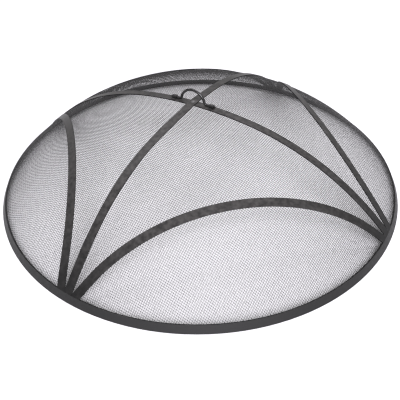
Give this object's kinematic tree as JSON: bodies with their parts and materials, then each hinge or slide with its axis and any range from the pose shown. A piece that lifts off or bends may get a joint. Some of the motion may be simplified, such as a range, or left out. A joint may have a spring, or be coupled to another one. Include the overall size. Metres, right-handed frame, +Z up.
{
  "type": "fire pit spark screen",
  "caption": "Round domed fire pit spark screen of woven wire cloth in a double rim band, stiffened by crossed and arched flat straps, lifted by a hinged wire bail at the crown.",
  "frame": {"origin": "centre of the rim on the ground, below the middle of the screen's bounding box", "axes": "+Z up through the crown, X along the lower cross strap and the bail's hinge line, Y along the upper cross strap"},
  "size_m": [0.9143, 0.9144, 0.2254],
  "materials": {
    "cloth": "heat-resistant satin black paint on woven steel wire",
    "band": "heat-resistant satin black paint on steel band",
    "strap": "heat-resistant satin black paint on flat steel bar",
    "wire": "semi-gloss black paint on steel wire",
    "clip": "semi-gloss black paint on sheet steel",
    "fastener": "satin black paint, brushed through on the heads"
  },
  "bodies": {
    "screen": {"mesh_dome": "cloth", "rim_band_outer": "band", "rim_band_inner": "band", "cross_strap_lower": "strap", "cross_strap_upper": "strap", "arc_strap_front": "strap", "arc_strap_right": "strap", "arc_strap_rear": "strap", "arc_strap_left": "strap", "crown_rivet": "fastener", "crown_washer": "fastener", "handle_clip_left": "clip", "handle_clip_right": "clip", "handle_clip_rivets": "fastener"},
    "bail": {"handle_bail": "wire"}
  },
  "joints": [
    {"name": "bail_pivot", "type": "hinge", "parent": "screen", "child": "bail", "pos_m": [-0.01649, 0.00483, 0.19512], "axis": [0.9998, 0, 0.0187], "range_deg": [-87, 87]}
  ]
}
